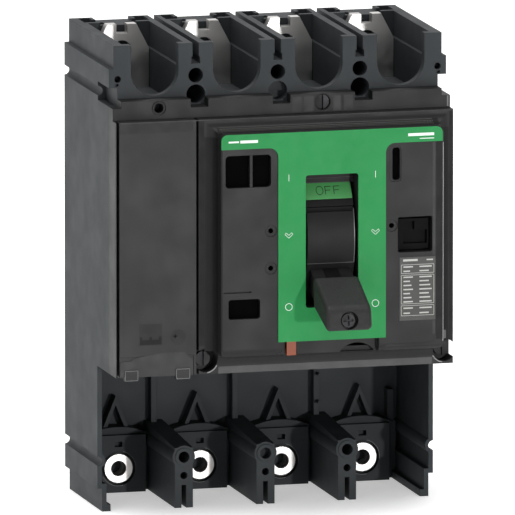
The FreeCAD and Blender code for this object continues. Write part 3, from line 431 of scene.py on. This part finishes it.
def make_rating_table(looks):
    """Ruled boxes and plain bars in place of the rating text."""
    low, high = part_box("rating_label")
    marks = Marks(facing(low.y))
    left, right = low.x + 0.9 * MM, high.x - 0.9 * MM
    line = 0.22 * MM
    top = high.z - 1.6 * MM
    marks.bar((left + 1 * MM, top), (left + 9 * MM, top), 1.1 * MM)
    marks.bar((right - 4 * MM, top), (right - 0.5 * MM, top), 0.7 * MM)
    for down, height, rows in ((4.0, 4.6, 2), (9.6, 15.4, 7), (26.0, 5.4, 2)):
        upper = high.z - down * MM
        lower = upper - height * MM
        marks.path([(left, upper), (right, upper), (right, lower), (left, lower), (left, upper)], line)
        pitch = height * MM / rows
        for row in range(rows):
            z = upper - pitch * (row + 0.5)
            short = 0.8 * MM * ((row * 5) % 3)
            marks.bar((left + 1.2 * MM, z), (left + 6.4 * MM - short, z), 0.7 * MM)
            marks.bar((left + 10 * MM, z), (right - 1.2 * MM - short, z), 0.7 * MM)
    marks.done("rating_table", "case", looks["grey_ink"])


def make_cover_shadows(looks):
    """What shows faintly through the smoky covers (seats, webs, a screw, a clip, a lighter foot), with
    painted shade, a painted highlight and a painted sheen.
    """
    dark = Marks(facing(COVER_Y), FILM)
    # Painted shade: the neutral cover's top strip, where its edge slopes back, is darker.
    dark.patch(rectangle(-90.2, -50.2, 82.4, 87.8))
    dark.patch(rectangle(-79.8, -67.3, -31.6, -20.0))
    dark.ring(mm(-58.5, -27.8), 2.2 * MM, 4.0 * MM)
    dark.done("neutral_shadows", "case", looks["shade"])
    deeper = Marks(facing(COVER_Y - FILM), FILM)
    deeper.patch(rectangle(-79.4, -67.6, -31.2, -28.6))
    for x in (-78.9, -73.6, -68.4):
        deeper.patch(rectangle(x - 0.7, x + 0.7, -28.6, -26.9))
    deeper.bar(mm(-61.5, -27.2), mm(-58.7, -27.2), 0.9 * MM)
    deeper.bar(mm(-60.1, -28.6), mm(-60.1, -25.8), 0.9 * MM)
    deeper.done("neutral_clip", "case", looks["faint"])
    pale = Marks(facing(COVER_Y), FILM)
    outline = ((-90.3, -48.4), (-50.4, -48.4), (-50.4, -40.6), (-55, -36.0), (-66, -35.8), (-74, -37.0),
               (-82.5, -38.2), (-84.5, -39.8), (-90.3, -40.0))
    pale.patch([mm(x, z) for x, z in outline])
    # Painted highlight along the covers' top front edge.
    pale.bar(mm(-90.3, 88.1), mm(92.2, 88.1), 0.5 * MM)
    pale.done("neutral_base_and_top_highlight", "case", looks["pale"])
    # Painted sheen: the main cover's bottom strip, turned up to the light, is lighter.
    strip = Marks(facing(COVER_Y), FILM)
    strip.patch(rectangle(-36.5, 81, -48.4, -44.7))
    strip.done("lower_sheen", "case", looks["sheen"])
    webs = Marks(facing(BAND_Y), FILM)
    for left, right in ((5.8, 10.8), (12.4, 17.4), (28.3, 32.3), (34.3, 39.2)):
        webs.patch(rectangle(left, right, 89.2, 97.4))
    webs.done("band_webs", "case", looks["web"])
    # Painted shade: a dark ring round the band's screw.
    rim = Marks(facing(BAND_Y), FILM)
    rim.ring(mm(22.5, 94.1), 4.32 * MM, 0.42 * MM)
    rim.done("band_screw_shade_ring", "case", looks["shade_coat"])


def make_highlights(looks):
    """Painted highlights: thin bright lines where the polished cover turns an edge, and glints round the
    screw recesses.
    """
    island = Marks(facing(ISLAND_Y), FILM)
    island.bar(mm(83.72, -34), mm(83.72, 73), 0.5 * MM)
    island.done("island_edge", "case", looks["gloss"])
    # A soft painted highlight down the panel's right side.
    panel = Marks(facing(PANEL_Y), FILM)
    panel.patch(rectangle(77.9, 79.4, 12.6, 73.2))
    panel.patch(rectangle(77.9, 79.4, -30, -22.6))
    panel.done("panel_edge", "case", looks["pale"])
    glow = Marks(facing(COVER_Y), FILM)
    for centre, start, end in (((87.5, -41), 186, 262), ((-43.5, -41), 278, 366)):
        glow.path([mm(x, z) for x, z in arc(centre, 6.75, start, end)], 0.55 * MM)
    glow.done("recess_gloss", "case", looks["gloss"])
    tabs = Marks(facing(TAB_Y), FILM)
    for left, right in ((-87.8, -80.5), (-59.8, -52.1)):
        outline = rectangle(left + 0.2, right - 0.2, -50.1, -44.9)
        tabs.path(outline + outline[:1], 0.3 * MM)
    tabs.done("tab_edges", "case", looks["edge_light"])
    band = Marks(facing(BAND_Y), FILM)
    band.bar(mm(91.2, 89), mm(91.2, 94.8), 0.7 * MM)
    band.done("band_edge", "case", looks["edge_light"])


def make_terminal_lights(looks):
    """Painted highlights on the edge of each terminal's recess, and brighter metal painted on the lit side
    of its bore.
    """
    rim_radius = 9.45
    bore_radius = 4.2 * MM
    for number in POLES:
        low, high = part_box(f"lower_terminal_{number}")
        centre = (low + high) / 2
        # Painted highlight on two arcs of the recess edge.
        rim = Marks(facing(low.y), FILM)
        for start, end in ((-8, 75), (205, 285)):
            turns = arc((centre.x / MM, centre.z / MM), rim_radius, start, end)
            rim.path([mm(x, z) for x, z in turns], 0.26 * MM)
        rim.done(f"terminal_rim_{number}", "case", looks["edge_light"])

        def inside(across, up, out, centre=centre, face=low.y):
            turn = across / bore_radius
            return Vector((centre.x + (bore_radius - out) * math.cos(turn), face + up,
                           centre.z + (bore_radius - out) * math.sin(turn)))

        # Brighter metal painted on the lit side of the bore.
        bore = Marks(inside, FILM)
        start, end = (math.radians(turn) * bore_radius for turn in (-75, 60))
        bore.bar((start, 3 * MM), (end, 3 * MM), 4.6 * MM, step=0.3 * MM)
        bore.done(f"terminal_lit_bore_{number}", "case", looks["bore"])


def make_visor(looks):
    """The ribbed guard across the top of the toggle's opening, clear of the shield."""
    guard = Marks(facing(VISOR_Y), VISOR_THICK)
    guard.patch(rectangle(8.1, 36.8, 52.3, 58.3))
    guard.done("window_visor", "case", looks["visor"])
    ribs = Marks(facing(VISOR_Y - VISOR_THICK), 0.25 * MM)
    ribs.bar(mm(8.1, 52.6), mm(36.8, 52.6), 0.3 * MM)
    ribs.bar(mm(8.1, 55.0), mm(36.8, 55.0), 0.22 * MM)
    ribs.done("window_visor_ribs", "case", looks["web"])


def make_shield_lines(looks):
    """A painted highlight along the right edge of the toggle's shield and across it, and painted shade in
    the gap under its label and in a band lower down.
    """
    def along(degrees):
        return math.radians(degrees) * SHIELD_RADIUS

    # Painted highlights along the shield's right edge and across it.
    line = Marks(on_toggle(SHIELD_RADIUS), COAT)
    line.bar((12.7 * MM, along(8.6)), (12.7 * MM, along(43)), 0.35 * MM)
    line.bar((-12.9 * MM, along(8.4)), (12.9 * MM, along(8.4)), 0.28 * MM)
    line.done("shield_edge", "toggle", looks["edge_light"])
    # Painted shade in the gap under the label and in a dark band across the shield.
    gap = Marks(on_toggle(SHIELD_RADIUS), COAT)
    gap.bar((-12.9 * MM, along(49.0)), (12.9 * MM, along(49.0)), 0.55 * MM)
    gap.bar((-12.9 * MM, along(43.6)), (12.2 * MM, along(43.6)), 1.1 * MM)
    for degrees in (3.6, 4.8, 6.0, 7.2):
        gap.bar((-12.9 * MM, along(degrees)), (12.9 * MM, along(degrees)), 1.05 * MM)
    gap.done("label_shade_bands", "toggle", looks["shade_coat"])


def make_cove_shade_coat(looks):
    """Painted shade in the hollow around the island and on the flats beside it, a painted glint in it, and
    fine ribs along its upper side.
    """
    radius = 6.0 * MM
    hollow_y = -116.0 * MM
    left, right, high = -44.1 * MM, 90.2 * MM, 87.7 * MM

    def above(across, up, out):
        reach = radius - out
        return Vector((across, hollow_y + reach * math.cos(up / radius),
                       high - reach * math.sin(up / radius)))

    def beside(middle, side):
        def place(across, up, out):
            reach = radius - out
            return Vector((middle - side * reach * math.sin(up / radius),
                           hollow_y + reach * math.cos(up / radius), across))
        return place

    def line_hollow(place, ends, turns, look, name):
        shade_coat = Marks(place, COAT)
        count = 6
        step = (turns[1] - turns[0]) * radius / count
        for index in range(count):
            up = turns[0] * radius + step * (index + 0.5)
            shade_coat.bar((ends[0], up), (ends[1], up), step * 1.02, step=0.2)
        shade_coat.done(name, "case", looks[look])

    # Painted shade down the hollow, darkest deep in, at the top and on both sides.
    line_hollow(above, mm(-37.5, 83.5), (0.6, 1.5), "shade_coat", "cove_shade_coat_top")
    line_hollow(beside(right, 1), mm(-36, 79), (0.05, 1.5), "faint", "cove_shade_coat_right")
    line_hollow(beside(left, -1), mm(-36, 79), (0.0, 0.75), "faint", "cove_shade_coat_left")
    line_hollow(beside(left, -1), mm(-36, 79), (0.75, 1.5), "shade_coat", "cove_shade_coat_left_deep")
    # Painted shade on the flat cover borders either side of the island.
    flat = Marks(facing(COVER_Y), COAT)
    flat.patch(rectangle(90.3, 92.4, -36, 87.6))
    flat.patch(rectangle(-47.0, -44.2, -33, 87.6))
    flat.done("border_shade", "case", looks["faint"])
    # A painted glint low in the hollow's right side.
    glint = Marks(beside(right, 1), 0.1 * MM)
    glint.bar((-34.8 * MM, 0.47 * radius), (-30.3 * MM, 0.47 * radius), 2.2 * MM, step=0.2)
    glint.done("cove_glint", "case", looks["edge_light"])
    ribs = Marks(above, 0.12 * MM)
    pitch = 0.85 * MM
    ribs_in_row = 138
    for index in range(ribs_in_row):
        for row in range(4):
            x = -36.5 * MM + pitch * (index + (row % 2) / 2)
            low = (0.62 + 0.2 * row) * radius
            ribs.bar((x, low), (x, low + 0.09 * radius), 0.26 * MM)
    ribs.done("cove_ribs", "case", looks["ribs"])
    # Painted shade on the panel's right margin, which slopes away.
    margin = Marks(facing(ISLAND_Y), FILM)
    margin.patch(rectangle(80.0, 83.6, -33, 73.4))
    margin.done("margin_shade", "case", looks["faint"])


# -------------------------------------------------------------------- scene

def make_camera():
    """A long lens from the front left and a little above."""
    azimuth = math.radians(-14.8)
    elevation = math.radians(9.8)
    target = Vector((-1.8, -60.0, 4.2)) * MM
    frame_width = 274.3 * MM
    back = Vector((math.sin(azimuth) * math.cos(elevation),
                   -math.cos(azimuth) * math.cos(elevation),
                   math.sin(elevation)))
    data = bpy.data.cameras.new("camera")
    data.lens = 1500
    data.sensor_width = 36
    distance = frame_width * data.lens / data.sensor_width
    data.clip_start = 1
    data.clip_end = 60
    camera = bpy.data.objects.new("camera", data)
    camera.location = target + back * distance
    camera.rotation_mode = "QUATERNION"
    camera.rotation_quaternion = (-back).to_track_quat("-Z", "Y")
    bpy.context.scene.collection.objects.link(camera)
    bpy.context.scene.camera = camera


def make_light(name, place, aim, size, power):
    """A square soft box."""
    data = bpy.data.lights.new(name, "AREA")
    data.shape = "SQUARE"
    data.size = size
    data.energy = power
    lamp = bpy.data.objects.new(name, data)
    lamp.location = place
    lamp.rotation_mode = "QUATERNION"
    lamp.rotation_quaternion = (Vector(aim) - Vector(place)).to_track_quat("-Z", "Y")
    bpy.context.scene.collection.objects.link(lamp)


def make_world():
    """A dim room with a bright wall behind and a pale ceiling."""
    world = bpy.data.worlds.new("studio")
    world.use_nodes = True
    tree = world.node_tree
    tree.nodes["Background"].inputs["Color"].default_value = (1, 1, 1, 1)
    coords = tree.nodes.new("ShaderNodeTexCoord")
    split = tree.nodes.new("ShaderNodeSeparateXYZ")
    tree.links.new(coords.outputs["Generated"], split.inputs["Vector"])
    total = tree.nodes.new("ShaderNodeMath")
    total.operation = "ADD"
    for place, axis, start, end, low, high in ((0, "Y", -0.1, 0.7, 0.11, 1.0), (1, "Z", 0.4, 1.0, 0.0, 0.5)):
        ramp = tree.nodes.new("ShaderNodeMapRange")
        for name, value in (("From Min", start), ("From Max", end), ("To Min", low), ("To Max", high)):
            ramp.inputs[name].default_value = value
        tree.links.new(split.outputs[axis], ramp.inputs["Value"])
        tree.links.new(ramp.outputs["Result"], total.inputs[place])
    tree.links.new(total.outputs["Value"], tree.nodes["Background"].inputs["Strength"])
    bpy.context.scene.world = world


def make_sun(direction, strength, softness):
    """The wide soft light from above."""
    data = bpy.data.lights.new("ceiling", "SUN")
    data.energy = strength
    data.angle = math.radians(softness)
    lamp = bpy.data.objects.new("ceiling", data)
    lamp.rotation_mode = "QUATERNION"
    lamp.rotation_quaternion = Vector(direction).to_track_quat("-Z", "Y")
    bpy.context.scene.collection.objects.link(lamp)


def make_stage():
    """A pale floor under the object, and the lights."""
    low = CAD_BOX[0][2]
    side = 30.0
    mesh = bpy.data.meshes.new("floor")
    mesh.from_pydata([(-side, -side, low), (side, -side, low), (side, side, low), (-side, side, low)],
                     [], [(0, 1, 2, 3)])
    floor = bpy.data.objects.new("floor", mesh)
    bpy.context.scene.collection.objects.link(floor)
    mesh.materials.append(printed("pale_floor", (0.80, 0.80, 0.80), 0.9, spread=0.01,
                                  Emission_Color=(1, 1, 1, 1), Emission_Strength=0.45))
    make_world()
    make_sun((0.10, 0.22, -1), 2.2, 40)
    make_light("key", (0.62, -2.64, 0.02), (0, -0.05, 0.0), 0.09, 23)
    make_light("fill", (-1.75, -1.75, 0.80), (0, -0.05, -0.05), 1.0, 7)


LOOKS = make_materials()
make_faceplate_marks(LOOKS)
make_position_letters(LOOKS)
make_rating_table(LOOKS)
make_cover_shadows(LOOKS)
make_cove_shade_coat(LOOKS)
make_highlights(LOOKS)
make_terminal_lights(LOOKS)
make_visor(LOOKS)
make_shield_lines(LOOKS)
make_camera()
make_stage()
bpy.context.scene.view_settings.view_transform = "Standard"
